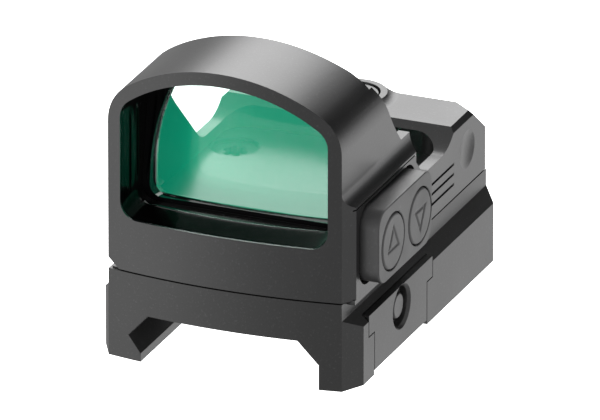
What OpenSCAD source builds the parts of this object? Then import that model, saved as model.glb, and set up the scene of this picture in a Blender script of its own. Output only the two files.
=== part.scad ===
// Compact reflex dot sight on a cross-slot accessory-rail clamp mount.
// Millimetres. +X is the key side, -Y the objective side, +Z is up.
// Origin: middle of the rail seat, the flat ceiling of the mount's rail channel.
// Parts are drawn in a bench frame: Y = 0 at the body's front corners, Z = 0 at
// the seam between the sight body and the mount; at_seam() moves them home.

/* [Body] */
// Width of the sight body and of the platform it sits on
body_w = 26; // [24:0.5:32]
// Length of the sight body, front corners to rear face
body_l = 41; // [40.2:0.1:50]
// How far the curved front face bulges ahead of its corners
nose_bulge = 1.23; // [0.8:0.05:2]
// Height of the deck's shoulder over the seam
shoulder_h = 5.9; // [5.7:0.1:8]
// Height of the recessed deck floor over the seam
deck_h = 4.6; // [4.5:0.1:5]
// Height of the hump that houses the emitter
hump_h = 7.8; // [7.7:0.1:9]
// Height of the raised boss around the elevation screw, over the hump
boss_h = 0.5; // [0.5:0.05:1.2]

/* [Hood and window] */
// Height of the hood's crown over the seam
hood_h = 23.85; // [22:0.05:30]
// Radius of the hood's crown
hood_r = 19; // [18:0.5:24]
// Radius that blends the crown into the hood's sides
hood_corner_r = 5; // [3:0.25:6]
// Thickness of the hood's side walls and crown
hood_wall = 1.45; // [1.2:0.05:2]
// Height of the window sill over the seam
sill_h = 5.75; // [5.6:0.05:5.9]
// Length of the hood's crown, front corners to rear edge
crown_l = 9.6; // [9:0.1:12]
// Bow of the hood's rear edge: its radius over the hood's rise from the shoulder
sweep_bow = 1.42; // [1.4:0.01:1.5]

/* [Lens] */
// Radius of the lens's front face
lens_r = 45; // [40:1:60]
// Thickness of the lens
lens_t = 1.6; // [1.2:0.1:2]
// Lean of the lens, top towards the rear
lens_tilt = 9; // [6:0.5:11]
// Thickness of the bedding bead around the lens
seal_t = 0.9; // [0.6:0.05:1.2]

/* [Keys] */
// Diameter of a key
key_d = 6; // [4.5:0.1:6.2]
// Distance between the two keys
key_pitch = 7.25; // [7:0.05:8.5]
// Travel of a key
key_travel = 0.35; // [0.2:0.05:0.4]
// How far the rubber pad stands out of the body's side face
pad_proud = 3; // [2.4:0.1:3.6]
// Length of the rubber pad's face
pad_l = 14.5; // [14.2:0.1:16]
// Height of the rubber pad's face
pad_h = 8.1; // [7.6:0.1:8.4]

/* [Mount] */
// How far the mount's side faces stand out from the body's
mount_flank = 1.4; // [1.2:0.05:3]
// Length of the mount, front corners to rear corners
mount_l = 39.6; // [38.8:0.2:49]
// Height from the rail seat to the seam
seat_t = 4.6; // [4.4:0.1:7]
// Depth of the mount's legs under the rail seat
leg_h = 5.25; // [5:0.05:7]
// Width over the rail's side edges, set by the rail
rail_w = 21.2; // [21.1:0.05:21.4]
// Travel of the clamp plate when its bolt is undone
clamp_travel = 2; // [1.6:0.1:2.4]
// Diameter of the cross bolt where it sits in the rail's slot
bolt_d = 4; // [3.6:0.1:4.8]
// Diameter of the cross bolt's thread
bolt_thread_d = 3; // [2.5:0.1:3.4]

/* [Power] */
// Diameter of the coin cell
cell_d = 16; // [12:0.1:16]
// Thickness of the coin cell
cell_t = 3.2; // [2:0.1:3.2]

/* [Adjusters] */
// Thread diameter of the elevation and windage screws
adjust_d = 1.6; // [1.2:0.1:1.8]
// Lift of the emitter for one turn of an adjusting screw
adjust_pitch = 0.35; // [0.2:0.05:0.4]

/* [Hidden] */
$fn = 96;

black = "#3c3d3e";
rubber = "#4c4c4d";
steel = "#8c8d90";

eps = 0.01;
fit = 0.05;          // running clearance on a radius
gap = 0.15;          // clearance round a moving or dropped-in piece
half_w = body_w / 2;
nose_r = (half_w * half_w + nose_bulge * nose_bulge) / (2 * nose_bulge);
body_mid = 19.4;     // bench Y of the row origin

// Hood
crown_z = hood_h - hood_r;
sweep_r = sweep_bow * (hood_h - shoulder_h);
sweep_lean = 13.5;   // slope of the hood's rear edge at the crown, from upright
sweep_y = crown_l + sweep_r * cos(sweep_lean);
sweep_z = hood_h + sweep_r * sin(sweep_lean);
sweep_foot = sweep_y - sweep_r * sqrt(2) + sweep_z - shoulder_h;  // where its 45 degree foot meets the deck
sweep_foot_r = 3;
win_w = half_w - hood_wall;
win_top = hood_h - hood_wall;
win_corner_r = 2.5;
win_sill_r = 1.9;

// Lens
lens_z = (sill_h + win_top) / 2 - 0.15;
lens_y = 6.2;                     // front apex of the lens
lens_half_h = (win_top - sill_h) / 2 - 0.65;
lens_half_w = half_w - 2.35;
lens_side_r = 21;                 // radius of the lens's straightish sides
lens_side_z = -4.2;               // where the lens is widest, from its middle
lens_crown_r = hood_r - 2.6;
lens_foot_r = 1.4;

// Deck and hump
rim = 1.25;                       // width of the shoulder beside the deck
deck_front = 8.4;                 // the deck's floor starts here, under the hood
deck_open = crown_l + 0.8;        // and is open to the sky from here
hump_front = body_l - 10.8;       // rear wall of the deck
hump_flat_y = hump_front + 0.7;   // where the hump's flat top starts
hump_flat_end = body_l - 3.65;
hump_side_h = hump_h - 0.5;       // where the hump's sides meet their eased edge
rear_edge_h = hump_h - 3.65;      // height of the rear face
hump_sweep_r = 5;
ease_y = hump_front + 14.2;       // middle of the blocks that ease the hump's side edges
deck_corner_r = 2.7;
rear_corner = [3.1, 1.7];         // plan chamfer of the rear corners, X and Y
dish_r = 7.5;

// Mounting screws
screw_x = half_w - 3.95;
screw_y = 24.7;
screw_r = 1.45;
screw_hole_r = screw_r + gap;
screw_head_r = 2.5;
screw_bore_r = 2.6;
screw_seat_z = 2.2;
screw_head_h = 1.9;
screw_tip_z = -3.7;

// Locating posts: [X, Y, radius]
post_spots = [for (s = [-1, 1]) each [
    [s * (half_w - 3.5), 4.6, 1.4],
    [s * (half_w - 2.1), hump_front + 3, 1.2]
]];
post_up = 1.2;
post_down = 1.8;

// Coin cell
cell_r = cell_d / 2;
cell_y = 16.2;
cell_z = 0.35;
pocket_r = cell_r + 0.2;
pocket_top = cell_z + cell_t + 0.35;
seal_r = pocket_r + 0.6;          // centreline radius of the battery seal
seal_wire = 0.35;                 // half the seal's thickness
seal_gland = seal_wire + 0.03;    // half the width of the seal's groove

// Electronics bay
bay_w = half_w - 4.4;
bay_y0 = hump_front - 2.7;
bay_y1 = body_l - 2.0;
bay_top = 3.4;
duct_w = 1.6;
cell_end = cell_y + pocket_r;
nest_w = 6.5;                     // the emitter's nest in the hump
nest_y0 = hump_flat_y + 0.1;
nest_y1 = hump_flat_end - 0.35;
nest_top = hump_h - 1.1;
cover_z = 0.05;
cover_t = 0.4;
board_z = 0.5;
board_t = 0.8;

// Adjusters
adjust_r = adjust_d / 2;
adjust_y = hump_front + 4.7;
windage_z = 3.2;
shoulder_r = adjust_r + 0.2;
head_r = 2.6;
boss_r = 3.5;
boss_flare_r = 4.9;
ring_wire = 0.3;
ring_r = shoulder_r + ring_wire + fit;
ring_bore_r = ring_r + ring_wire + fit;
boss_top = hump_h + boss_h;
head_seat = hump_h - 0.3;
ring_floor = head_seat - 0.55;
windage_head_r = 1.8;
windage_seat = half_w - 1;

// Emitter
emitter_z = 5.8;
window_z = 5.95;
port_r = 1.1;
pane_r = 1.45;
pane_t = 0.4;
carriage_z0 = 4.7;
carriage_z1 = nest_top - 0.45;
carriage_w = 5;
sled_w = 2.2;
sled_y0 = nest_y0 + 0.4;
sled_t = 0.9;
sled_block_z0 = 2.1;
sled_block_z1 = carriage_z0 - 0.05;

// Key pocket: the raised side face that carries the pad
side_x = half_w + 0.97;
side_y1 = 18.3;
side_z0 = -0.5;
side_z1 = 9.9;
flare_top = side_z1 + 2.2;
flare_r = 2.3;
pad_x1 = half_w + pad_proud;
pad_y = 9.95;                      // middle of the pad
pad_z = 5.15;
key_z = 4.9;
pocket_gap = 0.4;                  // open channel round the pad's face
pocket_x = half_w - 0.85;
pad_foot_x = half_w - 0.1;         // underside of the pad's flange
pad_flange_x = half_w + 0.35;
pad_corner_r = 1.9;
dome_r = 2;
flex_t = 0.25;
dome_t = 0.35;
key_top_x = pad_x1 + 0.05;
key_gap = 0.1;
key_flange_r = key_d / 2 + 0.3;
key_flange_x0 = pad_foot_x + 0.65;
key_flange_x1 = key_flange_x0 + 0.5;
key_tip_x = pocket_x + flex_t + dome_t + key_travel + 0.05;
key_ys = [for (s = [-1, 1]) pad_y + 0.28 + s * key_pitch / 2];
ribbon_x = half_w - 1.45;
ribbon_gap = 0.2;
ribbon_z0 = 0.3;
ribbon_z1 = 1.3;

// Mount
seam_h = 0.16;                     // fine shadow groove round the seam
seam_in = 0.35;
mount_half = half_w + mount_flank;
seat_z = -seat_t;
foot_z = seat_z - leg_h;
platform_z = -2;
ledge_z = platform_z - mount_flank + 0.1;
seat_half = rail_w / 2 - 2.25;
jaw_z = seat_z - 2.5;              // widest point of the rail channel
hook_reach = 1.45;
hook_z = jaw_z - 1.8;
bolt_y = 12.9;
bolt_z = seat_z - 0.5;
bolt_head_r = 3;
bolt_head_h = 2.2;
bolt_head_seat = mount_half - bolt_head_h - 0.3;
plate_top_z = -2.7;
plate_step_z = bolt_z + 0.1;
plate_foot_z = foot_z + 0.5;
plate_x0 = rail_w / 2 + 0.6;       // inner face of the plate's wide part
plate_wide = 17.3;
plate_narrow = 14.2;
plate_y = bolt_y - 0.25;
plate_recess_r = 2.15;

module at_seam() translate([0, -body_mid, seat_t]) children();

// Extrudes a drawing of (X, Z) along Y, and one of (Y, Z) along X.
module along_y(y0, y1) translate([0, y1, 0]) rotate([90, 0, 0]) linear_extrude(y1 - y0) children();
module along_x(x0, x1) translate([x0, 0, 0]) rotate([90, 0, 90]) linear_extrude(x1 - x0) children();
module box(lo, hi) translate(lo) cube(hi - lo);
module pin_x(x0, x1, r, y, z) translate([x0, y, z]) rotate([0, 90, 0]) cylinder(r = r, h = x1 - x0);
module pin_y(y0, y1, r, x, z) translate([x, y1, z]) rotate([90, 0, 0]) cylinder(r = r, h = y1 - y0);
module pin_z(z0, z1, r, x = 0, y = 0) translate([x, y, z0]) cylinder(r = r, h = z1 - z0);
module torus(ring, wire) rotate_extrude() translate([ring, 0]) circle(wire, $fn = 32);

// A rectangle with round corners, as plain circles and squares.
module round_rect(size, r) {
    translate([-size.x / 2 + r, -size.y / 2]) square([size.x - 2 * r, size.y]);
    translate([-size.x / 2, -size.y / 2 + r]) square([size.x, size.y - 2 * r]);
    for (x = [-1, 1], y = [-1, 1])
        translate([x * (size.x / 2 - r), y * (size.y / 2 - r)]) circle(r, $fn = 48);
}

function arc(c, r, a0, a1, n) = [
    for (i = [0:n]) let (a = a0 + (a1 - a0) * i / n) c + r * [cos(a), sin(a)]
];

// The upper right crossing of two circles, the second to the right of the first.
function crossing(c1, r1, c2, r2) =
    let (d = norm(c2 - c1), u = (c2 - c1) / d, a = (r1 * r1 - r2 * r2 + d * d) / (2 * d))
    c1 + a * u + sqrt(r1 * r1 - a * a) * [-u.y, u.x];

// The (X, Z) outline of an arched opening or hood: straight sides, a crown of
// radius top_r, blended corners and, where foot_r is over 0, round lower corners.
module arch(half, z0, z1, top_r, corner_r, foot_r = 0) {
    zc = z1 - top_r;
    cx = half - corner_r;
    cz = zc + sqrt(pow(top_r - corner_r, 2) - cx * cx);
    lean = atan2(cz - zc, cx);
    foot = foot_r > 0 ? arc([half - foot_r, z0 + foot_r], foot_r, -90, 0, 8) : [[half, z0]];
    right = [each foot, each arc([cx, cz], corner_r, 0, lean, 8)];
    crown = arc([0, zc], top_r, lean, 180 - lean, 40);
    left = [for (i = [len(right) - 1:-1:0]) [-right[i].x, right[i].y]];
    polygon([each right, for (i = [1:len(crown) - 2]) crown[i], each left]);
}

module window_outline(inset = 0)
    arch(win_w - inset, sill_h + inset, win_top - inset, hood_r - hood_wall - inset,
        win_corner_r - inset, win_sill_r - inset);

// The plan of the mount's middle, as wide as the body, with both ends curved.
module nose_plan(rear, inset = 0) {
    intersection() {
        translate([0, nose_r - nose_bulge]) circle(nose_r - inset, $fn = 360);
        translate([0, rear + nose_bulge - nose_r]) circle(nose_r - inset, $fn = 360);
        translate([-half_w + inset, -nose_bulge - 1]) square([body_w - 2 * inset, rear + 2 * nose_bulge + 2]);
    }
}

// ---- housing ----
// Points of the hood's rear edge (Y, Z) from the crown down to its foot, moved
// towards the rear by grow.
function sweep_points(grow = 0) = [
    each arc([sweep_y, sweep_z], sweep_r - grow, 180 + sweep_lean, 225, 20),
    each arc([sweep_foot + grow + sweep_foot_r * tan(22.5), shoulder_h + sweep_foot_r],
        sweep_foot_r, 225, 270, 6)
];

// The side outline (Y, Z): hood, deck shoulder, hump and sloping rear.
module side_profile() {
    rise = hump_h - shoulder_h;
    sweep_angle = acos((hump_sweep_r - rise) / hump_sweep_r);
    hump_foot = hump_flat_y - hump_sweep_r * sin(sweep_angle);
    polygon([
        [-3, 0], [-3, hood_h + 1], [crown_l, hood_h + 1], each sweep_points(),
        each arc([hump_foot, shoulder_h + hump_sweep_r], hump_sweep_r, -90, sweep_angle - 90, 8),
        [hump_flat_end, hump_h], [body_l, rear_edge_h], [body_l, 0]
    ]);
}

// A block that fills the space beyond the plane through three points.
module beyond(a, b, c) {
    n = cross(b - a, c - a);
    translate(a) rotate([0, acos(n.z / norm(n)), atan2(n.y, n.x)])
        translate([-15, -15, 0]) cube([30, 30, 12]);
}

// The body's plan, drawn wide: its sides are trimmed by the hood's outline.
module body_plan() {
    c = rear_corner;
    intersection() {
        translate([0, nose_r - nose_bulge]) circle(nose_r, $fn = 360);
        polygon([
            [-half_w - c.x, -nose_bulge - 1], [half_w + c.x, -nose_bulge - 1],
            [half_w + c.x, body_l - 2 * c.y], [half_w - c.x, body_l],
            [-half_w + c.x, body_l], [-half_w - c.x, body_l - 2 * c.y]
        ]);
    }
}

module housing_block() {
    intersection() {
        translate([0, 0, -1]) linear_extrude(hood_h + 3) body_plan();
        along_x(-half_w - 1, half_w + 1) side_profile();
        along_y(-3, body_l + 1) difference() {
            arch(half_w, 0, hood_h, hood_r, hood_corner_r);
            polygon([
                [-half_w - 1, -1], [-half_w + 1.3, -1], [-half_w + 1.3, 0],
                [-half_w, 1.1], [-half_w - 1, 1.1]
            ]);
        }
    }
}

module key_side() {
    difference() {
        intersection() {
            linear_extrude(flare_top + 1) polygon([
                [half_w - 1.2, 0.2], [half_w, 0.02], [side_x, 1.57],
                [side_x, side_y1 - 0.5], [half_w + 0.2, side_y1], [half_w - 1.2, side_y1]
            ]);
            along_y(-1, side_y1 + 1) difference() {
                translate([half_w - 1.2, 0]) square([side_x - half_w + 1.2, flare_top]);
                translate([half_w + flare_r, flare_top]) circle(flare_r);
            }
        }
        // fine line under the flare's lip
        box([side_x - 0.3, 1.2, side_z1 - 0.02], [side_x + 1, side_y1 - 0.3, side_z1 + 0.13]);
    }
    box([half_w + 0.05, 1.2, side_z0], [side_x, side_y1 - 0.6, eps]);
}

module pad_outline(grow) round_rect([pad_l + 2 * grow, pad_h + 2 * grow], pad_corner_r + grow);

module deck_recess() {
    w = half_w - rim;
    y1 = hump_front;
    hull_y = y1 - deck_corner_r;
    linear_extrude(hood_h) {
        translate([-w, deck_open]) square([2 * w, hull_y - deck_open]);
        translate([-w + deck_corner_r, deck_open]) square([2 * (w - deck_corner_r), y1 - deck_open]);
        for (s = [-1, 1]) translate([s * (w - deck_corner_r), hull_y]) circle(deck_corner_r);
    }
    box([-w + 0.5, deck_front, 0], [w - 0.5, deck_open + 0.5, sill_h - deck_h + 0.3]);
}

module side_grooves() {
    y0 = side_y1 + 0.2;
    y1 = 30.2;
    for (z = [1.55, 2.7, 3.8]) translate([half_w, 0, z]) {
        box([-0.35, y0 - 0.6, -0.15], [1, y1, 0.15]);
        translate([0, y1, -0.15]) linear_extrude(0.3)
            polygon([[-0.35, -eps], [1, -eps], [1, 0.6], [0, 0.45]]);
    }
}

module housing_bores() {
    // window tunnel and its two dark baffle grooves
    along_y(-3, hump_front - 4) window_outline();
    for (y = [2.4, 4.3], s = [-1, 1])
        box([s * win_w - 0.22, y - 0.2, 8], [s * win_w + 0.22, y + 0.2, 16.5]);
    translate([0, 0, deck_h]) deck_recess();
    // battery pocket, seal groove, wire duct
    pin_z(-1, pocket_top, pocket_r, 0, cell_y);
    translate([0, cell_y, -1]) rotate_extrude()
        translate([seal_r - seal_gland, 0]) square([2 * seal_gland, 1 + 2 * seal_gland]);
    box([-duct_w, cell_end - 1, -1], [duct_w, bay_y0 + 0.6, pocket_top]);
    // electronics bay and the emitter's nest
    box([-bay_w, bay_y0, -1], [bay_w, bay_y1, bay_top]);
    box([-nest_w, nest_y0, bay_top - 1], [nest_w, nest_y1, nest_top]);
    // emitter port
    pin_y(hump_front - 1, nest_y0 + 1, port_r, 0, window_z);
    pin_y(hump_front - 1, hump_front + pane_t, pane_r, 0, window_z);
    // mounting screws
    for (s = [-1, 1]) {
        pin_z(-1, deck_h + 1, screw_hole_r, s * screw_x, screw_y);
        pin_z(screw_seat_z, hood_h, screw_bore_r, s * screw_x, screw_y);
    }
    for (p = post_spots) pin_z(-1, post_up + 0.1, p[2] + fit, p[0], p[1]);
    // elevation screw
    pin_z(nest_top - 1, boss_top + 1, shoulder_r + fit, 0, adjust_y);
    pin_z(ring_floor, boss_top + 1, ring_bore_r, 0, adjust_y);
    pin_z(head_seat, boss_top + 1, head_r + 0.2, 0, adjust_y);
    // windage screw
    pin_x(-half_w - 1, -nest_w + 1, shoulder_r + fit, adjust_y, windage_z);
    pin_x(-half_w - 1, -windage_seat + 0.55, ring_bore_r, adjust_y, windage_z);
    pin_x(-half_w - 1, -windage_seat, windage_head_r + 0.2, adjust_y, windage_z);
    // key pocket and the ribbon's duct
    along_x(pocket_x, side_x + 1) translate([pad_y, pad_z]) pad_outline(pocket_gap);
    box([ribbon_x - ribbon_gap, pad_y + 5, -1], [pocket_x + 0.3, pad_y + 6.6, 2.2]);
    box([ribbon_x - ribbon_gap, pad_y + 5, -1], [ribbon_x + 0.5, bay_y0 + 1.8, 1.6]);
    box([bay_w - 0.5, bay_y0 + 0.6, -1], [ribbon_x + 0.5, bay_y0 + 1.8, 1.6]);
    side_grooves();
    // shallow round dish on the key side
    translate([half_w + dish_r - 0.3, hump_front + 4, 4.1]) sphere(dish_r);
    // slanted facets on the rear corners of the hump
    for (s = [-1, 1]) scale([s, 1, 1]) beyond(
        [half_w - 2.5, hump_flat_end, hump_h],
        [half_w, hump_flat_end - 1.35, hump_side_h],
        [half_w, body_l - rear_corner.y, 4.7]
    );
}

module elevation_boss() {
    flare_r = (pow(boss_flare_r - boss_r, 2) + boss_h * boss_h) / (2 * boss_h);
    pin_z(nest_top + 0.5, boss_top, boss_r, 0, adjust_y);
    intersection() {
        translate([0, adjust_y, hump_h - eps]) difference() {
            cylinder(r = boss_flare_r - 0.1, h = boss_h + eps);
            rotate_extrude() translate([boss_flare_r, flare_r]) circle(flare_r);
        }
        box([-6, hump_front, 0], [6, hump_flat_end, boss_top]);
    }
}

module housing() color(black) at_seam() {
    difference() {
        union() {
            housing_block();
            key_side();
            elevation_boss();
        }
        housing_bores();
        // eased side edges of the hump
        for (s = [-1, 1]) scale([s, 1, 1]) beyond(
            [half_w, ease_y, hump_side_h], [half_w, ease_y + 1, hump_side_h], [half_w - 0.5, ease_y, hump_h]
        );
    }
}

// ---- lens ----
// Lens outline (X, up the lens) about the middle of the lens: square foot with
// round corners, sides that lean in, and a crown.
module lens_outline(grow = 0) {
    w = lens_half_w + grow;
    h = lens_half_h + grow;
    side = [w - lens_side_r - grow, lens_side_z];
    crown = [0, h - lens_crown_r - grow];
    corner = crossing(side, lens_side_r + grow, crown, lens_crown_r + grow);
    side_angle = atan2(corner.y - side.y, corner.x - side.x);
    crown_angle = atan2(corner.y - crown.y, corner.x);
    right = [
        each arc([w - lens_foot_r, lens_foot_r - h], lens_foot_r, -90, 0, 6),
        each arc(side, lens_side_r + grow, 0, side_angle, 16)
    ];
    top = arc(crown, lens_crown_r + grow, crown_angle, 180 - crown_angle, 28);
    left = [for (i = [len(right) - 1:-1:0]) [-right[i].x, right[i].y]];
    polygon([each right, for (i = [1:len(top) - 2]) top[i], each left]);
}

// Puts (X, depth, height) shapes on the leaning lens axis; front apex at the origin.
module on_lens() translate([0, lens_y, lens_z]) rotate([-lens_tilt, 0, 0]) children();

module lens() color("#8fd0b6", 0.6) at_seam() on_lens() {
    intersection() {
        along_y(-1, 8) lens_outline();
        difference() {
            translate([0, lens_r, 0]) sphere(lens_r, $fn = 180);
            translate([0, lens_r, 0]) sphere(lens_r - lens_t, $fn = 180);
        }
    }
}

module lens_seal() color("#141416") at_seam() {
    intersection() {
        on_lens() difference() {
            along_y(0.3, 2.7) translate([-15, -15]) square(30);
            along_y(-1, 8) lens_outline(0.03);
        }
        along_y(0, 12) window_outline(0.02);
        along_x(-half_w, half_w) intersection() {
            translate([0, sill_h]) square([12, hood_h]);
            polygon([[0, 0], [0, hood_h], each sweep_points(-0.25), [body_l, 0]]);
        }
    }
}

// ---- keys ----
module button_pad() color(rubber) at_seam() {
    difference() {
        union() {
            along_x(pad_foot_x, pad_flange_x) translate([pad_y, pad_z]) pad_outline(pocket_gap - 0.06);
            along_x(pad_foot_x, pad_x1) translate([pad_y, pad_z]) pad_outline(0);
        }
        for (y = key_ys) {
            pin_x(pad_foot_x - 1, pad_x1 + 1, key_d / 2 + key_gap, y, key_z);
            pin_x(pad_foot_x - 1, key_flange_x1 + 0.1, key_flange_r + key_gap, y, key_z);
        }
    }
}

// A triangle's outline as a shallow engraved mark; flip = -1 points it down.
module key_mark(flip) {
    rotate([90, 0, 90]) linear_extrude(1) scale([1, flip]) rotate(90) difference() {
        circle(1.75, $fn = 3);
        circle(1.1, $fn = 3);
    }
}

module key(y, flip) {
    difference() {
        union() {
            pin_x(key_flange_x0, key_top_x, key_d / 2, y, key_z);
            pin_x(key_flange_x0, key_flange_x1, key_flange_r, y, key_z);
            pin_x(key_tip_x, key_flange_x0 + eps, 1, y, key_z);
        }
        translate([key_top_x - 0.2, y, key_z]) key_mark(flip);
    }
}

module brighter_key() color(rubber) at_seam() key(key_ys[0], 1);
module dimmer_key() color(rubber) at_seam() key(key_ys[1], -1);

module key_switches() color(steel) at_seam()
    for (y = key_ys) pin_x(pocket_x + flex_t, pocket_x + flex_t + dome_t, dome_r, y, key_z);

module switch_board() color("#b5792c") at_seam() {
    difference() {
        union() {
            along_x(pocket_x, pocket_x + flex_t) translate([pad_y, pad_z]) pad_outline(0);
            box([ribbon_x, pad_y + 5.3, ribbon_z0], [pocket_x + flex_t, pad_y + 6.3, ribbon_z1]);
            box([ribbon_x, pad_y + 5.3, ribbon_z0], [ribbon_x + 0.2, bay_y0 + 1.3, ribbon_z1]);
            box([bay_w - 0.3, bay_y0 + 1.1, ribbon_z0 + 0.5], [ribbon_x + 0.2, bay_y0 + 1.3, ribbon_z1]);
        }
        // the fold is a thin strip, not a block
        box([ribbon_x + 0.2, pad_y + 5.5, ribbon_z0 - 1], [pocket_x, pad_y + 7, ribbon_z1 + 1]);
    }
}

// ---- electronics ----
module main_board() color("#1f5a34") at_seam() difference() {
    box([-bay_w + gap, bay_y0 + 2, board_z], [bay_w - gap, bay_y1 - gap, board_z + board_t]);
    pin_z(0, 2, 0.6, -bay_w + 1.4, bay_y1 - 1.6);
    pin_z(0, 2, 0.6, bay_w - 1.4, bay_y1 - 1.6);
}

module control_chip() color("#1a1a1c") at_seam()
    box([4.2, bay_y0 + 2.8, board_z + board_t], [7.2, bay_y0 + 5.8, board_z + board_t + 0.8]);

module bay_cover() color("#26272a") at_seam()
    box([-bay_w + gap, bay_y0 + gap, cover_z], [bay_w - gap, bay_y1 - gap, cover_z + cover_t]);

module coin_cell() color("#c4c6c9") at_seam() {
    pin_z(cell_z + 0.5, cell_z + cell_t, cell_r, 0, cell_y);
    pin_z(cell_z, cell_z + 0.5 + eps, cell_r - 1, 0, cell_y);
}

module battery_spring_contact() color("#c9a94a") at_seam() {
    z0 = cell_z + cell_t;
    foot = board_z + board_t;
    y1 = bay_y0 + 0.45;
    box([-1.3, cell_y - 3, z0 + 0.1], [-0.3, y1, z0 + 0.25]);
    box([-1.3, y1 - 0.15, foot], [-0.3, y1, z0 + 0.15]);
    box([-1.3, y1 - 0.15, foot], [-0.3, bay_y0 + 3.4, foot + 0.15]);
    pin_z(z0, z0 + 0.15, 0.9, -0.8, cell_y - 2.4);
}

module battery_rim_contact() color("#c9a94a") at_seam() {
    y0 = cell_y + cell_r;
    box([0.3, y0, 1.2], [1.3, y0 + 0.15, 3.2]);
    box([0.3, y0, board_z + board_t], [1.3, bay_y0 + 3.4, board_z + board_t + 0.15]);
}

module battery_seal() color("#202022") at_seam()
    translate([0, cell_y, seal_wire]) torus(seal_r, seal_wire);

// ---- emitter ----
module emitter_led() color("#d8d2c4") at_seam()
    box([-0.8, sled_y0 - 0.3, emitter_z - 0.4], [0.8, sled_y0, emitter_z + 0.4]);

module emitter_sled() color("#9a9ca0") at_seam() difference() {
    union() {
        box([-sled_w, sled_y0, sled_block_z0], [sled_w, sled_y0 + sled_t, carriage_z1]);
        box([-sled_w, sled_y0, sled_block_z0], [sled_w, adjust_y + 1.6, sled_block_z1]);
    }
    // the fork that straddles the windage screw, open below
    box([-sled_w - 1, adjust_y - adjust_r - fit, 0],
        [sled_w + 1, adjust_y + adjust_r + fit, windage_z + adjust_pitch]);
    pin_x(-sled_w - 1, sled_w + 1, adjust_r + fit, adjust_y, windage_z + adjust_pitch);
}

module emitter_carriage() color("#6f7276") at_seam() difference() {
    box([-carriage_w, sled_y0 + sled_t + 0.05, carriage_z0], [carriage_w, nest_y1 - 0.25, carriage_z1]);
    pin_z(0, 9, adjust_r + fit, 0, adjust_y);
}

module emitter_window() color("#cfe0e6", 0.5) at_seam()
    pin_y(hump_front, hump_front + pane_t, pane_r - 0.02, 0, window_z);

// A cheese-head adjusting screw along +Z, head top at z = 0.
module adjuster(r, head_t, neck_z, tip_z) {
    difference() {
        union() {
            pin_z(-head_t, 0, r);
            pin_z(neck_z, -head_t + eps, shoulder_r);
            pin_z(tip_z, neck_z + eps, adjust_r);
        }
        box([-r - 1, -0.3, -head_t * 0.55], [r + 1, 0.3, 1]);
    }
}

module elevation_screw() color(steel) at_seam()
    translate([0, adjust_y, boss_top - 0.15])
        adjuster(head_r, boss_top - 0.15 - head_seat - 0.05, nest_top - boss_top + 0.25,
            carriage_z0 + 0.55 - boss_top);

module elevation_o_ring() color("#1b1b1d") at_seam()
    translate([0, adjust_y, ring_floor + ring_wire]) torus(ring_r, ring_wire - 0.04);

module windage_screw() color(steel) at_seam()
    translate([-half_w + 0.15, adjust_y, windage_z]) rotate([0, -90, 0])
        adjuster(windage_head_r, half_w - 0.2 - windage_seat, -half_w + 0.15 + bay_w - 0.4,
            -half_w - sled_w - 0.6);

module windage_o_ring() color("#1b1b1d") at_seam()
    translate([-windage_seat + 0.55 - ring_wire, adjust_y, windage_z]) rotate([0, 90, 0])
        torus(ring_r, ring_wire - 0.04);

// ---- mount ----
module mount_profile() {
    difference() {
        polygon([
            [-half_w, 0], [-half_w, platform_z], [-mount_half, ledge_z], [-mount_half, foot_z],
            [mount_half, foot_z], [mount_half, ledge_z], [half_w, platform_z], [half_w, 0]
        ]);
        polygon([
            [-seat_half, seat_z], [-rail_w / 2, jaw_z], [-rail_w / 2 + hook_reach, hook_z],
            [-rail_w / 2 + hook_reach, foot_z - 1], [rail_w / 2, foot_z - 1], [rail_w / 2, jaw_z],
            [seat_half, seat_z]
        ]);
    }
}

// Plan of the mount: the curved nose between the front corners, then chamfers.
module mount_plan() {
    c = mount_flank;
    nose_plan(mount_l);
    polygon([
        [half_w, 0], [mount_half, 1.8 * c], [mount_half, mount_l - c], [half_w, mount_l],
        [-half_w, mount_l], [-mount_half, mount_l - c], [-mount_half, 1.8 * c], [-half_w, 0]
    ]);
}

// The (Y, Z) outline of the clamp plate, wide above the step and narrow below.
module plate_outline(grow) {
    translate([plate_y - plate_wide / 2 - grow, plate_step_z - grow])
        square([plate_wide + 2 * grow, plate_top_z - plate_step_z + 2 * grow]);
    translate([plate_y - plate_narrow / 2 - grow, foot_z - 1])
        square([plate_narrow + 2 * grow, plate_step_z - foot_z + 1]);
}

module mount_base() color(black) at_seam() {
    difference() {
        intersection() {
            translate([0, 0, foot_z - 1]) linear_extrude(1 - foot_z) mount_plan();
            along_y(-3, mount_l + 1) mount_profile();
        }
        // pocket of the clamp plate: a rebate above, open to the rail below
        along_x(plate_x0 - 0.1, mount_half + 1) plate_outline(0.1);
        box([seat_half + 0.6, plate_y - plate_narrow / 2 - 0.1, foot_z - 1],
            [mount_half, plate_y + plate_narrow / 2 + 0.1, plate_step_z]);
        // cross bolt: head bore on the left, shank bore right through
        pin_x(-mount_half - 1, -bolt_head_seat, bolt_head_r + gap, bolt_y, bolt_z);
        pin_x(-mount_half - 1, mount_half, bolt_d / 2 + 2 * fit, bolt_y, bolt_z);
        for (s = [-1, 1]) pin_z(screw_tip_z - 0.3, 1, screw_r + fit, s * screw_x, screw_y);
        for (p = post_spots) pin_z(-post_down, 1, p[2], p[0], p[1]);
        difference() {
            box([-half_w - 1, -3, -seam_h], [half_w + 1, mount_l + 3, 1]);
            translate([0, 0, -1]) linear_extrude(3) nose_plan(mount_l, seam_in);
        }
    }
}

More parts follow.
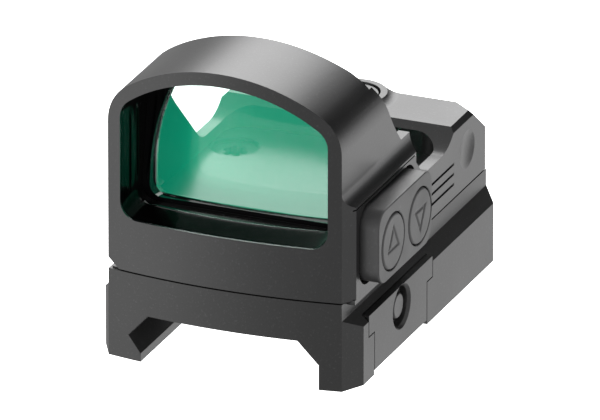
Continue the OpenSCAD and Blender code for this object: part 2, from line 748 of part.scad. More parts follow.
module clamp_plate() color(black) at_seam() {
    lip = rail_w / 2 - hook_reach;
    difference() {
        union() {
            intersection() {
                along_x(plate_x0, mount_half) plate_outline(0);
                box([0, 0, plate_foot_z], [mount_half, mount_l, 0]);
            }
            along_y(plate_y - plate_narrow / 2, plate_y + plate_narrow / 2) polygon([
                [plate_x0, plate_step_z], [plate_x0, jaw_z + 0.6], [rail_w / 2, jaw_z],
                [lip, hook_z], [lip, plate_foot_z], [plate_x0 + 1, plate_foot_z], [plate_x0 + 1, plate_step_z]
            ]);
        }
        pin_x(0, mount_half + 1, bolt_thread_d / 2 + fit, bolt_y, bolt_z);
        pin_x(0, plate_x0 + 0.3, bolt_d / 2 + 0.15, bolt_y, bolt_z);
        translate([mount_half - 1.1, bolt_y, bolt_z]) rotate([0, 90, 0]) cylinder(r = plate_recess_r, h = 2);
        translate([mount_half - 0.3, bolt_y, bolt_z]) rotate([0, 90, 0])
            cylinder(r1 = plate_recess_r, r2 = plate_recess_r + 0.3 + eps, h = 0.3 + eps);
    }
}

module clamp_bolt() color(steel) at_seam() {
    shank_end = plate_x0 - 0.05;
    tip = mount_half - 0.35;
    difference() {
        union() {
            pin_x(-mount_half + 0.3, -bolt_head_seat - 0.02, bolt_head_r, bolt_y, bolt_z);
            pin_x(-bolt_head_seat - 0.1, shank_end, bolt_d / 2, bolt_y, bolt_z);
            pin_x(shank_end - 0.1, tip - 0.25, bolt_thread_d / 2, bolt_y, bolt_z);
            translate([tip - 0.25, bolt_y, bolt_z]) rotate([0, 90, 0])
                cylinder(r1 = bolt_thread_d / 2, r2 = bolt_thread_d / 2 - 0.25, h = 0.25);
        }
        // hexagon socket
        translate([-mount_half - 1, bolt_y, bolt_z]) rotate([0, 90, 0]) cylinder(r = 1.45, h = 2.6, $fn = 6);
    }
}

module mounting_screws() color("#5a5b5e") at_seam()
    for (s = [-1, 1]) translate([s * screw_x, screw_y, 0]) difference() {
        union() {
            pin_z(screw_seat_z, screw_seat_z + screw_head_h, screw_head_r);
            pin_z(screw_tip_z, screw_seat_z + eps, screw_r);
        }
        // six-lobed socket
        for (a = [0:60:300]) rotate(a)
            translate([0.95, 0, screw_seat_z + 0.6]) cylinder(r = 0.42, h = 2, $fn = 24);
        pin_z(screw_seat_z + 0.6, screw_seat_z + 3, 0.9);
    }

module locating_posts() color(steel) at_seam()
    for (p = post_spots) pin_z(-post_down, post_up, p[2], p[0], p[1]);

housing();
lens();
lens_seal();
button_pad();
brighter_key();
dimmer_key();
key_switches();
switch_board();
main_board();
control_chip();
bay_cover();
coin_cell();
battery_spring_contact();
battery_rim_contact();
battery_seal();
emitter_led();
emitter_sled();
emitter_carriage();
emitter_window();
elevation_screw();
elevation_o_ring();
windage_screw();
windage_o_ring();
mount_base();
clamp_plate();
clamp_bolt();
mounting_screws();
locating_posts();
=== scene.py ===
# %% [markdown]
# A compact reflex sight on its rail mount. The solid parts come ready made from
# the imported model, in metres, and this lesson gives them light, a camera and
# their finishes. Each step first says what the piece is and then makes it.

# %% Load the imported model
import math

import bmesh
import bpy
import numpy as np
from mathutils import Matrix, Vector


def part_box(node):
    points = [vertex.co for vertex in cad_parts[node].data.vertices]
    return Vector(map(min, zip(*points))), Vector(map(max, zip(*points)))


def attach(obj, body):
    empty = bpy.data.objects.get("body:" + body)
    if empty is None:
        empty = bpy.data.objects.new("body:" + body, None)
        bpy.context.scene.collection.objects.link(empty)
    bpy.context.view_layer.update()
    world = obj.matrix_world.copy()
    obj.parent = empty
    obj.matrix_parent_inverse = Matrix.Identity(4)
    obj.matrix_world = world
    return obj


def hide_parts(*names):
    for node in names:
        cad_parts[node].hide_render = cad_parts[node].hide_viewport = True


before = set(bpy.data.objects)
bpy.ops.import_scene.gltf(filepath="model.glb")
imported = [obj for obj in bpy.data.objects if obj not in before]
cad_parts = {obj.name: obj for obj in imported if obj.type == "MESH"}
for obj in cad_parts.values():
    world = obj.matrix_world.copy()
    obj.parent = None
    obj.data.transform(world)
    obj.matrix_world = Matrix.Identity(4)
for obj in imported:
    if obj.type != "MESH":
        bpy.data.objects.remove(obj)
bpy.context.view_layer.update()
scene = bpy.context.scene
MM = 0.001
print("loaded", len(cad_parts), "parts")

# %% [markdown]
# The camera has a very long lens and stands two metres away, so that upright
# edges stay upright and the far end of the sight looks as large as the near
# end. Standing far off and zooming in is the usual way to show a small product.

# %% Camera
CAMERA_AZIMUTH = math.radians(22.5)
CAMERA_ELEVATION = math.radians(22.7)
CAMERA_DISTANCE = 1.985
FOCAL_LENGTH = 1150
AIM = Vector((0.5, -0.4, 5.7)) * MM


def towards(azimuth, elevation):
    """Unit vector that points away from the sight at an azimuth and elevation in radians."""
    flat = math.cos(elevation)
    return Vector((math.sin(azimuth) * flat, -math.cos(azimuth) * flat, math.sin(elevation)))


lens_data = bpy.data.cameras.new("camera")
lens_data.lens = FOCAL_LENGTH
lens_data.sensor_width = 36
lens_data.clip_start = 0.05
lens_data.clip_end = 20
camera = bpy.data.objects.new("camera", lens_data)
scene.collection.objects.link(camera)
sight_line = towards(CAMERA_AZIMUTH, CAMERA_ELEVATION)
camera.location = AIM + sight_line * CAMERA_DISTANCE
camera.rotation_euler = (-sight_line).to_track_quat("-Z", "Y").to_euler()
scene.camera = camera
scene.view_settings.view_transform = "Standard"
print("camera", [round(v, 3) for v in camera.location])

# %% [markdown]
# Node trees come up again and again below, so three small helpers keep them
# readable: one adds a node with its values, one joins two sockets, and one
# starts a node group with named inputs and outputs.


# %% Node helpers
def add_node(tree, kind, values=None, **settings):
    """A new node of a kind, with settings as attributes and values for its inputs."""
    node = tree.nodes.new("ShaderNode" + kind)
    for key, value in settings.items():
        setattr(node, key, value)
    for key, value in (values or {}).items():
        node.inputs[key].default_value = value
    return node


def join(tree, *pairs):
    """Links output sockets to input sockets, given as (output, input) pairs."""
    for start, end in pairs:
        tree.links.new(start, end)


def new_group(name, inputs, outputs):
    """A shader node group. inputs are (name, type, default) and outputs are (name, type)."""
    group = bpy.data.node_groups.new(name, "ShaderNodeTree")
    for label, kind, default in inputs:
        socket = group.interface.new_socket(label, in_out="INPUT", socket_type="NodeSocket" + kind)
        socket.default_value = default
    for label, kind in outputs:
        group.interface.new_socket(label, in_out="OUTPUT", socket_type="NodeSocket" + kind)
    return group, group.nodes.new("NodeGroupInput"), group.nodes.new("NodeGroupOutput")


def place_group(tree, group, values=None):
    """Puts a node group into a tree with its own input values."""
    node = tree.nodes.new("ShaderNodeGroup")
    node.node_tree = group
    for key, value in (values or {}).items():
        node.inputs[key].default_value = value
    return node


# %% [markdown]
# The studio is a white tent. A black anodised part shows its shape only by what
# it reflects, so the walls of the tent are not even: there are brighter panels
# and dark gaps between them. A world colour that changes with direction stands
# for those walls. Each panel is a soft round patch round one direction: the dot
# product of the looking direction with the panel's own direction goes through a
# smooth step, from nothing at its rim to full at its core.

# %% Studio panels
panel_group, panel_in, panel_out = new_group(
    "soft_panel",
    [
        ("Direction", "Vector", (0, 0, 0)), ("Centre", "Vector", (0, 0, 1)),
        ("Rim", "Float", 0.5), ("Core", "Float", 0.9), ("Gain", "Float", 1.0),
    ],
    [("Value", "Float")],
)
dot = add_node(panel_group, "VectorMath", operation="DOT_PRODUCT")
step = add_node(panel_group, "MapRange", interpolation_type="SMOOTHSTEP")
scale = add_node(panel_group, "Math", operation="MULTIPLY")
join(
    panel_group,
    (panel_in.outputs["Direction"], dot.inputs[0]),
    (panel_in.outputs["Centre"], dot.inputs[1]),
    (dot.outputs["Value"], step.inputs["Value"]),
    (panel_in.outputs["Rim"], step.inputs["From Min"]),
    (panel_in.outputs["Core"], step.inputs["From Max"]),
    (step.outputs["Result"], scale.inputs[0]),
    (panel_in.outputs["Gain"], scale.inputs[1]),
    (scale.outputs[0], panel_out.inputs["Value"]),
)

# azimuth and elevation of the middle, half angle of the core and of the rim (all in
# degrees), and what the patch adds to the tent's own level; a dark gap takes away
PANELS = [
    (194, 29, 8, 22, 3.9),
    (156, 17, 12, 26, -0.6),
    (157, -25, 12, 24, 0.85),
    (-48, -12, 14, 34, 0.9),
    (0, -22, 6, 20, -0.2),
]
TENT = 0.62
BACKDROP = 1.1

world = bpy.data.worlds.new("tent")
scene.world = world
world.use_nodes = True
tent = world.node_tree
tent.nodes.clear()
looking = add_node(tent, "TexCoord")
# each sum takes over the one before it, and the first starts from the tent's own level
total = None
for azimuth, elevation, core, rim, gain in PANELS:
    panel = place_group(tent, panel_group, {
        "Centre": towards(math.radians(azimuth), math.radians(elevation)),
        "Rim": math.cos(math.radians(rim)), "Core": math.cos(math.radians(core)), "Gain": gain,
    })
    join(tent, (looking.outputs["Generated"], panel.inputs["Direction"]))
    more = add_node(tent, "Math", {1: TENT}, operation="ADD")
    join(tent, (panel.outputs["Value"], more.inputs[0]))
    if total:
        join(tent, (total, more.inputs[1]))
    total = more.outputs[0]
walls = add_node(tent, "Background")
backdrop = add_node(tent, "Background", {"Color": (1, 1, 1, 1), "Strength": BACKDROP})
seen = add_node(tent, "LightPath")
choose = add_node(tent, "MixShader")
tent_out = add_node(tent, "OutputWorld")
join(
    tent, (total, walls.inputs["Strength"]), (seen.outputs["Is Camera Ray"], choose.inputs["Fac"]),
    (walls.outputs[0], choose.inputs[1]), (backdrop.outputs[0], choose.inputs[2]),
    (choose.outputs[0], tent_out.inputs["Surface"]),
)
print("tent panels", len(PANELS))

# %% [markdown]
# The floor is a plain pale sheet of lit acrylic. It glows, as light tables do, so
# no hard shadow shows round the feet. It is hidden from reflections and from
# bounced light, so only the tent lights the black faces.

# %% Floor
FLOOR_GLOW = 2.2
FLOOR_SIZE = 6

floor_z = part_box("mount_base")[0].z
bpy.ops.mesh.primitive_plane_add(size=FLOOR_SIZE, location=(0, 0, floor_z))
floor = bpy.context.object
floor.name = "floor"
floor_finish = bpy.data.materials.new("floor")
floor_finish.use_nodes = True
floor_shader = floor_finish.node_tree.nodes["Principled BSDF"]
for key, value in {
    "Base Color": (0.8, 0.8, 0.8, 1), "Roughness": 0.9, "Specular IOR Level": 0.1,
    "Emission Color": (1, 1, 1, 1), "Emission Strength": FLOOR_GLOW,
}.items():
    floor_shader.inputs[key].default_value = value
floor.data.materials.append(floor_finish)
floor.visible_glossy = False
floor.visible_diffuse = False

# %% [markdown]
# Hard anodising over a bead-blasted surface has a fine even grain with a few
# brighter specks. Two noises in the piece's own space make it: a fine one for
# the blasted dimples and a slow one for the slight cloudiness of the black dye.
# The group gives back a height for the bump, a mask of specks for the colour and
# the clouds for the roughness, so each finish can use them at its own strength.

# %% Grain
grain_group, grain_in, grain_out = new_group(
    "fine_grain",
    [("Scale", "Float", 4000.0), ("Cloud Scale", "Float", 90.0)],
    [("Height", "Float"), ("Speck", "Float"), ("Cloud", "Float")],
)
grain_place = add_node(grain_group, "TexCoord")
dimples = add_node(grain_group, "TexNoise", {"Detail": 3.0, "Roughness": 0.65})
clouds = add_node(grain_group, "TexNoise", {"Detail": 2.0, "Roughness": 0.5})
specks = add_node(
    grain_group, "MapRange", {"From Min": 0.56, "From Max": 0.74}, interpolation_type="SMOOTHSTEP",
)
join(
    grain_group,
    (grain_place.outputs["Object"], dimples.inputs["Vector"]),
    (grain_place.outputs["Object"], clouds.inputs["Vector"]),
    (grain_in.outputs["Scale"], dimples.inputs["Scale"]),
    (grain_in.outputs["Cloud Scale"], clouds.inputs["Scale"]),
    (dimples.outputs["Fac"], grain_out.inputs["Height"]),
    (dimples.outputs["Fac"], specks.inputs["Value"]),
    (specks.outputs["Result"], grain_out.inputs["Speck"]),
    (clouds.outputs["Fac"], grain_out.inputs["Cloud"]),
)


# %% [markdown]
# Every solid finish below is one Principled shader with the grain group in
# front of it. The plain values sit on the shader's own sockets. The specks mix
# two colours, the clouds move the roughness between two limits, and the
# dimples raise a relief whose height is given in millimetres.


# %% Finish maker
def finish(name, dark, light, rough, bump=0.0, grain=4000.0, cloud=90.0, **plain):
    """A grained finish: colour from dark to light, roughness within rough, relief of bump mm."""
    material = bpy.data.materials.new(name)
    material.use_nodes = True
    tree = material.node_tree
    shader = tree.nodes["Principled BSDF"]
    for key, value in plain.items():
        shader.inputs[key.replace("_", " ")].default_value = value
    texture = place_group(tree, grain_group, {"Scale": grain, "Cloud Scale": cloud})
    colour = add_node(tree, "Mix", data_type="RGBA")
    colour.inputs["A"].default_value = (*dark, 1)
    colour.inputs["B"].default_value = (*light, 1)
    gloss = add_node(tree, "MapRange", {"To Min": rough[0], "To Max": rough[1]})
    join(
        tree,
        (texture.outputs["Speck"], colour.inputs["Factor"]),
        (colour.outputs["Result"], shader.inputs["Base Color"]),
        (texture.outputs["Cloud"], gloss.inputs["Value"]),
        (gloss.outputs["Result"], shader.inputs["Roughness"]),
    )
    if bump:
        relief = add_node(tree, "Bump", {"Strength": 1.0, "Distance": bump * MM})
        join(
            tree,
            (texture.outputs["Height"], relief.inputs["Height"]),
            (relief.outputs["Normal"], shader.inputs["Normal"]),
        )
    return material


# %% [markdown]
# The finishes. The body and the mount are the same black anodising, a dark base
# under a clear oxide skin with a strong gloss. The rest are what such a sight
# holds: moulded silicone keys, black bedding compound, black-oxide steel
# screws, circuit board, a nickel-plated cell and gold-plated contacts.

# %% Finishes
anodised_body = finish(
    "anodised_body", (0.011, 0.011, 0.0115), (0.045, 0.045, 0.047), (0.27, 0.36), 0.008, IOR=1.85,
)
anodised_mount = finish(
    "anodised_mount", (0.012, 0.012, 0.012), (0.05, 0.05, 0.051), (0.3, 0.4), 0.006, IOR=1.8,
)
bedding_black = finish(
    "bedding_black", (0.003, 0.003, 0.004), (0.006, 0.006, 0.006), (0.05, 0.1), 0.0006, 900.0,
    IOR=1.5,
)
key_rubber = finish(
    "key_rubber", (0.03, 0.03, 0.031), (0.055, 0.055, 0.056), (0.36, 0.5), 0.009, 1900.0, 300.0,
    IOR=2.0,
)
dark_steel = finish(
    "dark_steel", (0.1, 0.1, 0.1), (0.16, 0.16, 0.16), (0.25, 0.35), 0.001, Metallic=1.0,
)
plain_steel = finish(
    "plain_steel", (0.5, 0.5, 0.51), (0.58, 0.58, 0.59), (0.2, 0.3), 0.0006, Metallic=1.0,
)
contact_steel = finish(
    "contact_steel", (0.55, 0.55, 0.56), (0.62, 0.62, 0.63), (0.22, 0.3), 0.0006, Metallic=1.0,
)
cell_steel = finish(
    "cell_steel", (0.6, 0.6, 0.61), (0.68, 0.68, 0.68), (0.28, 0.36), 0.001, Metallic=1.0,
)
contact_brass = finish(
    "contact_brass", (0.75, 0.52, 0.2), (0.85, 0.63, 0.28), (0.2, 0.3), 0.0006, Metallic=1.0,
)
guide_metal = finish(
    "guide_metal", (0.42, 0.43, 0.44), (0.5, 0.5, 0.52), (0.3, 0.4), 0.0012, Metallic=1.0,
)
seal_rubber = finish(
    "seal_rubber", (0.02, 0.02, 0.02), (0.03, 0.03, 0.03), (0.4, 0.55), 0.002,
)
flex_board = finish(
    "flex_board", (0.45, 0.2, 0.04), (0.55, 0.27, 0.06), (0.25, 0.35), 0.0006,
)
green_board = finish(
    "green_board", (0.015, 0.1, 0.04), (0.02, 0.14, 0.06), (0.25, 0.35), 0.001,
)
black_plastic = finish(
    "black_plastic", (0.015, 0.015, 0.016), (0.025, 0.025, 0.026), (0.4, 0.5), 0.002,
)
led_package = finish(
    "led_package", (0.6, 0.57, 0.48), (0.7, 0.67, 0.58), (0.4, 0.5), 0.001,
)

# %% [markdown]
# Glass is the exception: it keeps one plain Transmission Weight, and only its
# roughness carries a trace of texture. Thin glass over a black part is best
# left neutral, because the colour comes from the coating, not from the glass.

# %% Glass
clear_glass = finish(
    "clear_glass", (0.97, 0.99, 0.98), (1, 1, 1), (0.0, 0.01), IOR=1.5, Transmission_Weight=1.0,
)
coated_glass = finish(
    "coated_glass", (0.96, 0.99, 0.98), (0.98, 1, 0.99), (0.0, 0.006),
    IOR=1.45, Transmission_Weight=1.0,
)

# %% Give every part its finish
FINISHES = {
    "housing": anodised_body, "mount_base": anodised_mount, "clamp_plate": anodised_mount,
    "lens": coated_glass, "lens_seal": bedding_black, "emitter_window": clear_glass,
    "button_pad": key_rubber, "brighter_key": key_rubber, "dimmer_key": key_rubber,
    "key_switches": contact_steel, "switch_board": flex_board, "main_board": green_board,
    "control_chip": black_plastic, "bay_cover": black_plastic, "coin_cell": cell_steel,
    "battery_spring_contact": contact_brass, "battery_rim_contact": contact_brass,
    "battery_seal": seal_rubber, "elevation_o_ring": seal_rubber, "windage_o_ring": seal_rubber,
    "emitter_led": led_package, "emitter_sled": guide_metal, "emitter_carriage": guide_metal,
    "elevation_screw": dark_steel, "windage_screw": dark_steel, "clamp_bolt": dark_steel,
    "mounting_screws": dark_steel, "locating_posts": plain_steel,
}
for node, material in FINISHES.items():
    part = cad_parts[node]
    part.data.materials.clear()
    part.data.materials.append(material)
print("finished", len(FINISHES), "parts")

# %% [markdown]
# Machined parts never have knife edges. A tumbled and blasted edge is rounded
# by about a tenth of a millimetre and catches a thin line of light; the moulded
# pad's edges are rounded by more than half a millimetre. The ready made mesh is
# loose triangles, so a copy of it has its doubles merged and its flat areas
# joined, and a Bevel modifier rounds what is sharp. The hardened normals keep
# the flat faces flat. Curved walls come as narrow strips of uneven size, so
# weighted normals then even out the shading from strip to strip.


# %% Eased copies
# the weld is in mm and the angles are in degrees
WELD = 0.002
FLAT_ANGLE = 0.2
SHARP_ANGLE = 14
BEVEL_STEPS = 2
AREA_WEIGHT = 80


def eased(node, name, width, body, slot):
    """A copy of a ready-made part with its edges rounded by width mm; stands for the part."""
    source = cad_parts[node]
    work = bmesh.new()
    work.from_mesh(source.data)
    bmesh.ops.remove_doubles(work, verts=work.verts, dist=WELD * MM)
    bmesh.ops.dissolve_limit(
        work, angle_limit=math.radians(FLAT_ANGLE), verts=work.verts, edges=work.edges,
        delimit=set(),
    )
    mesh = bpy.data.meshes.new(name)
    work.to_mesh(mesh)
    work.free()
    for face in mesh.polygons:
        face.use_smooth = True
    mesh.materials.append(FINISHES[node])
    piece = bpy.data.objects.new(name, mesh)
    scene.collection.objects.link(piece)
    rounding = piece.modifiers.new("eased_edges", "BEVEL")
    rounding.width = width * MM
    rounding.segments = BEVEL_STEPS
    rounding.limit_method = "ANGLE"
    rounding.angle_limit = math.radians(SHARP_ANGLE)
    rounding.harden_normals = True
    rounding.use_clamp_overlap = True
    rounding.miter_outer = "MITER_ARC"
    shading = piece.modifiers.new("even_shading", "WEIGHTED_NORMAL")
    shading.mode = "FACE_AREA_WITH_ANGLE"
    shading.weight = AREA_WEIGHT
    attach(piece, body)
    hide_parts(node)


# node, name of its copy, width of the eased edge in mm, body it rides, material slot
EASED = [
    ("housing", "sight_body", 0.1, "body", "anodised_body"),
    ("mount_base", "rail_mount", 0.12, "body", "anodised_mount"),
    ("clamp_plate", "side_plate", 0.12, "clamp_plate", "anodised_mount"),
    ("clamp_bolt", "cross_bolt", 0.1, "clamp_bolt", "dark_steel"),
    ("mounting_screws", "deck_screws", 0.08, "body", "dark_steel"),
    ("elevation_screw", "top_adjuster", 0.08, "elevation_screw", "dark_steel"),
    ("windage_screw", "side_adjuster", 0.08, "windage_screw", "dark_steel"),
    ("button_pad", "pad", 0.6, "body", "key_rubber"),
]
for row in EASED:
    eased(*row)
print("eased", len(EASED), "parts")

# %% [markdown]
# The coating is a film on the lens's front face that sends back green light and
# lets the rest through. A sheet two hundredths of a millimetre in front of the
# glass stands for it. It is partly see-through, part mirror and part scatter,
# both green, and it glows weakly in the same green: that glow stands for the
# light of the tent's walls that the hood hides from it. The lens is a shell cut
# from a sphere of radius R whose apex leans back, so with x across and h up the
# lens, the film's depth behind the apex is R - sqrt(R^2 - x^2 - h^2). Its
# outline has a straight foot, then sides and a crown that are arcs.

# %% Lens coating
LENS_RADIUS = 45.0
LENS_LEAN = math.radians(9)
LENS_APEX = (0.0, -13.2, 18.525)
LENS_HALF = (10.65, 7.675)
LENS_SIDE_R = 21
LENS_SIDE_FOOT = -4.2
LENS_CROWN_R = 16.4
FILM_GAP = 0.02
FILM_INSET = 0.15
FILM_LEAST = 0.05


def sheet_mesh(name, points, material, close_u=False):
    """A mesh from grid points, shape (rows, columns, 3) in mm, with quads between them."""
    rows, columns = points.shape[:2]
    index = np.arange(rows * columns).reshape(rows, columns)
    if close_u:
        index = np.concatenate([index, index[:, :1]], axis=1)
    corners = [index[:-1, :-1], index[:-1, 1:], index[1:, 1:], index[1:, :-1]]
    quads = np.stack(corners, axis=-1).reshape(-1, 4)
    mesh = bpy.data.meshes.new(name)
    mesh.from_pydata((points.reshape(-1, 3) * MM).tolist(), [], quads.tolist())
    for face in mesh.polygons:
        face.use_smooth = True
    mesh.materials.append(material)
    mesh.update()
    piece = bpy.data.objects.new(name, mesh)
    scene.collection.objects.link(piece)
    return piece


def lens_edge(height):
    """Half width of the lens at a height above its middle, in mm."""
    half_w, half_h = LENS_HALF
    climb = np.maximum(height - LENS_SIDE_FOOT, 0)
    side = half_w - LENS_SIDE_R + np.sqrt(LENS_SIDE_R**2 - climb**2)
    above = height - (half_h - LENS_CROWN_R)
    crown = np.sqrt(np.maximum(LENS_CROWN_R**2 - above**2, 0))
    return np.minimum(side, crown)


def coating_points(rows=49, columns=49):
    """Points of the film: rows run up the lens, columns across it, depth from the formula."""
    reach = LENS_HALF[1] - FILM_INSET
    h = np.linspace(-reach, reach, rows)
    half = np.maximum(lens_edge(h) - FILM_INSET, FILM_LEAST)
    u = np.linspace(-1, 1, columns)
    x = half[:, None] * u[None, :]
    h = np.repeat(h[:, None], columns, axis=1)
    depth = LENS_RADIUS - np.sqrt(LENS_RADIUS**2 - x**2 - h**2) - FILM_GAP
    y = LENS_APEX[1] + depth * math.cos(LENS_LEAN) + h * math.sin(LENS_LEAN)
    z = LENS_APEX[2] - depth * math.sin(LENS_LEAN) + h * math.cos(LENS_LEAN)
    return np.stack([x, y, z], axis=-1)


film = finish(
    "green_film", (0.0, 0.86, 0.46), (0.0, 0.95, 0.54), (0.3, 0.34), grain=60.0,
    Metallic=0.4, Alpha=0.32, Emission_Color=(0.0, 1.0, 0.55, 1), Emission_Strength=0.52,
)
coating = sheet_mesh("lens_coating", coating_points(), film)
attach(coating, "body")
print("coating", len(coating.data.polygons), "faces")

# %% [markdown]
# The inside of the window is lacquered gloss black so that stray light dies
# there. The lacquer is a thin sheet that follows the window's outline: a flat
# sill, round lower corners, upright walls, blended upper corners and an arched
# crown. The outline is walked in equal steps, and each point of it is drawn
# from the curved front face back to the leaning lens. Two low ridges on each
# wall are bell curves e = height * exp(-((y - ridge) / width)^2), pushed in
# from the wall. The sill climbs to a narrow crest and falls away to the lens:
# with t the share of the way down from the crest, its height is
# rise * (sqrt(1 + c^2) - sqrt(t^2 + c^2)), where c rounds the crest. Seen from
# above the crest bows with the front face, y = y0 + k x^2. Lengths here are
# measured from the front of the body and from its seam with the mount, and
# ROW_Y and ROW_Z take them to the frame's own origin.


# %% Window lacquer
NOSE_R = 69.3
NOSE_BULGE = 1.23
NOSE_INSET = 0.3
ROW_Y, ROW_Z = 19.4, 4.6
WINDOW = {
    "half": 11.52, "low": 5.78, "high": 22.37, "crown_r": 17.52, "corner_r": 2.47, "foot_r": 1.87,
}
BACK_Y = 6.45
LENS_MIDDLE_Z = 13.925
SILL_RISE = 0.6
SILL_SOFT = 0.06
CREST_Y, CREST_BOW = 1.95, 0.011
RIDGES_Y = (2.4, 4.3)
RIDGE_SIZE = 0.16
# heights where the sill's rise and the walls' ridges are nothing, and where they are full
SILL_FADE = (7.2, 6.0)
WALL_FOOT, WALL_HEAD = (8.0, 9.0), (17.0, 16.0)


def arc_points(centre, radius, start, end, count):
    """Points on a circle from one angle to another, in degrees."""
    angle = np.radians(np.linspace(start, end, count))
    x, y = centre[0] + radius * np.cos(angle), centre[1] + radius * np.sin(angle)
    return np.stack([x, y], axis=-1)


def window_outline(half, low, high, crown_r, corner_r, foot_r, count):
    """Equal steps (x, z) round the arched window, starting and ending at the sill's middle."""
    crown_z = high - crown_r
    corner_x = half - corner_r
    corner_z = crown_z + math.sqrt((crown_r - corner_r) ** 2 - corner_x**2)
    lean = math.degrees(math.atan2(corner_z - crown_z, corner_x))
    right = np.concatenate([
        [[0, low]],
        arc_points((half - foot_r, low + foot_r), foot_r, -90, 0, 16),
        arc_points((corner_x, corner_z), corner_r, 0, lean, 16),
        arc_points((0, crown_z), crown_r, lean, 90, 30),
    ])
    loop = np.concatenate([right, right[-2::-1] * (-1, 1)])
    steps = np.linalg.norm(np.diff(loop, axis=0), axis=1)
    travelled = np.concatenate([[0], np.cumsum(steps)])
    wanted = np.linspace(0, travelled[-1], count)
    return np.stack([np.interp(wanted, travelled, loop[:, k]) for k in (0, 1)], axis=-1)


def ridge(y, middle, height, width):
    """A bell-shaped ridge across y, in mm."""
    return height * np.exp(-(((y - middle) / width) ** 2))


def fade(value, none, full):
    """Rises evenly from 0 where value is none to 1 where it is full."""
    return np.clip((value - none) / (full - none), 0, 1)


def crest_line(x):
    """How far back the sill's crest lies at x."""
    return CREST_Y + CREST_BOW * x**2


def lacquer_points(rows=72, columns=321):
    """Rows run from the front face to the lens, columns round the window."""
    outline = window_outline(**WINDOW, count=columns)
    along = np.gradient(outline, axis=0)
    length = np.linalg.norm(along, axis=1)
    inward = np.stack([-along[:, 1], along[:, 0]], axis=-1) / length[:, None]
    x, z = outline[:, 0], outline[:, 1]
    front = NOSE_R - NOSE_BULGE - np.sqrt(NOSE_R**2 - x**2) + NOSE_INSET
    back = BACK_Y + (z - LENS_MIDDLE_Z) * math.tan(LENS_LEAN)
    y = front + (back - front) * np.linspace(0, 1, rows)[:, None]
    on_sill = fade(z, *SILL_FADE)
    on_wall = fade(z, *WALL_FOOT) * fade(z, *WALL_HEAD)
    crest = crest_line(x)
    t = np.where(y < crest, (crest - y) / (crest - front), (y - crest) / (back - crest))
    push = on_sill * SILL_RISE * (math.hypot(1, SILL_SOFT) - np.sqrt(t**2 + SILL_SOFT**2))
    for middle in RIDGES_Y:
        push = push + on_wall * ridge(y, middle, RIDGE_SIZE, RIDGE_SIZE)
    return np.stack([
        x + inward[:, 0] * push, y - ROW_Y, z + inward[:, 1] * push + ROW_Z,
    ], axis=-1)


lacquer_black = finish(
    "lacquer_black", (0.002, 0.002, 0.0022), (0.004, 0.004, 0.004), (0.08, 0.14), 0.0004, 900.0,
    IOR=1.5, Specular_IOR_Level=0.06,
)
lacquer = sheet_mesh("window_lacquer", lacquer_points(), lacquer_black)
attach(lacquer, "body")
print("lacquer", len(lacquer.data.polygons), "faces")

# %% [markdown]
# Where the lacquer pooled along the crest it dried to a thin shiny bead. The
# bead is nearly half a tube: its section is an arc of radius r, swept along the
# line of the crest.

# %% Sill bead
BEAD_R = 0.13
BEAD_HALF = 9.2
BEAD_Z = 6.3
BEAD_ARC = 85
BEAD_ROWS, BEAD_COLUMNS = 13, 93
wet_black = finish(
    "wet_black", (0.004, 0.004, 0.004), (0.01, 0.01, 0.01), (0.03, 0.06), 0.0004, 900.0,
    IOR=1.9, Coat_Weight=1.0, Coat_Roughness=0.03,
)
bead_x = np.linspace(-BEAD_HALF, BEAD_HALF, BEAD_COLUMNS)
bead_angle = np.radians(np.linspace(-BEAD_ARC, BEAD_ARC, BEAD_ROWS))[:, None]
bead_points = np.stack([
    0 * bead_angle + bead_x,
    crest_line(bead_x) + BEAD_R * np.sin(bead_angle) - ROW_Y,
    0 * bead_x + BEAD_Z + BEAD_R * np.cos(bead_angle) + ROW_Z,
], axis=-1)
bead = sheet_mesh("sill_bead", bead_points, wet_black)
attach(bead, "body")

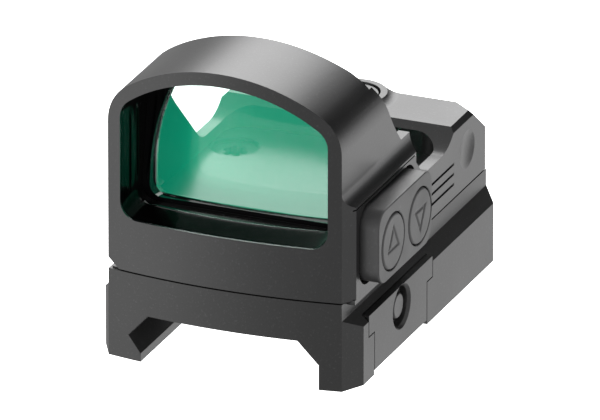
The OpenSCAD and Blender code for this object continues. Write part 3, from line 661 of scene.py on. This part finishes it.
# %% [markdown]
# The two keys are moulded silicone: a round button with a soft edge, a shallow
# triangular groove as its mark, and under it the flange and the stem that
# presses the switch. All of that is one turned profile of radius and height,
# swept round the key's axis. The groove follows a triangle: the largest of
# three dot products with the edge directions is the distance from the middle
# measured across the nearest edge, and the groove is a bell curve of it.


# %% Keys
KEY_R = 3.05
KEY_TOP = 16.05
KEY_SOFT = 0.35
KEY_FLAT = 2.65
KEY_Z = 4.9
AXIS_R = 0.01
# radius and height in mm, from the top of the flange down to the tip of the stem
UNDERSIDE = [
    (KEY_R, 14.07), (3.28, 14.04), (3.3, 13.58), (3.28, 13.56), (1.0, 13.55), (1.0, 13.17),
    (AXIS_R, 13.15),
]
MARK_REACH, MARK_DEPTH, MARK_WIDTH = 0.74, 0.12, 0.17
TRIANGLE = np.radians((-90, 30, 150))
TOP_ROWS, SOFT_ROWS = 44, 8


def key_points(y_middle, flip, columns=144):
    """Points of a key: rows follow the turned profile from the top's middle to the stem's tip."""
    flat = np.linspace(AXIS_R, KEY_FLAT, TOP_ROWS)
    top = np.stack([flat, np.full(TOP_ROWS, KEY_TOP)], axis=-1)
    soft = arc_points((KEY_R - KEY_SOFT, KEY_TOP - KEY_SOFT), KEY_SOFT, 90, 0, SOFT_ROWS)
    profile = np.concatenate([top, soft, UNDERSIDE])
    angle = np.linspace(0, 2 * math.pi, columns, endpoint=False)
    radius, height = profile[:, :1], profile[:, 1:]
    y, z = radius * np.cos(angle), radius * np.sin(angle)
    across = np.max([y * math.cos(a) + z * flip * math.sin(a) for a in TRIANGLE], axis=0)
    groove = ridge(across, MARK_REACH, MARK_DEPTH, MARK_WIDTH)
    mark = np.where(height > KEY_TOP - 0.01, groove, 0)
    return np.stack([height - mark, y_middle + y - ROW_Y, KEY_Z + z + ROW_Z], axis=-1)


# node, how far back its middle lies, and which way up its triangle is
for node, y_middle, flip in (("brighter_key", 6.605, 1), ("dimmer_key", 13.855, -1)):
    key = sheet_mesh(node + "_moulding", key_points(y_middle, flip), key_rubber, close_u=True)
    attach(key, node)
    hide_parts(node)
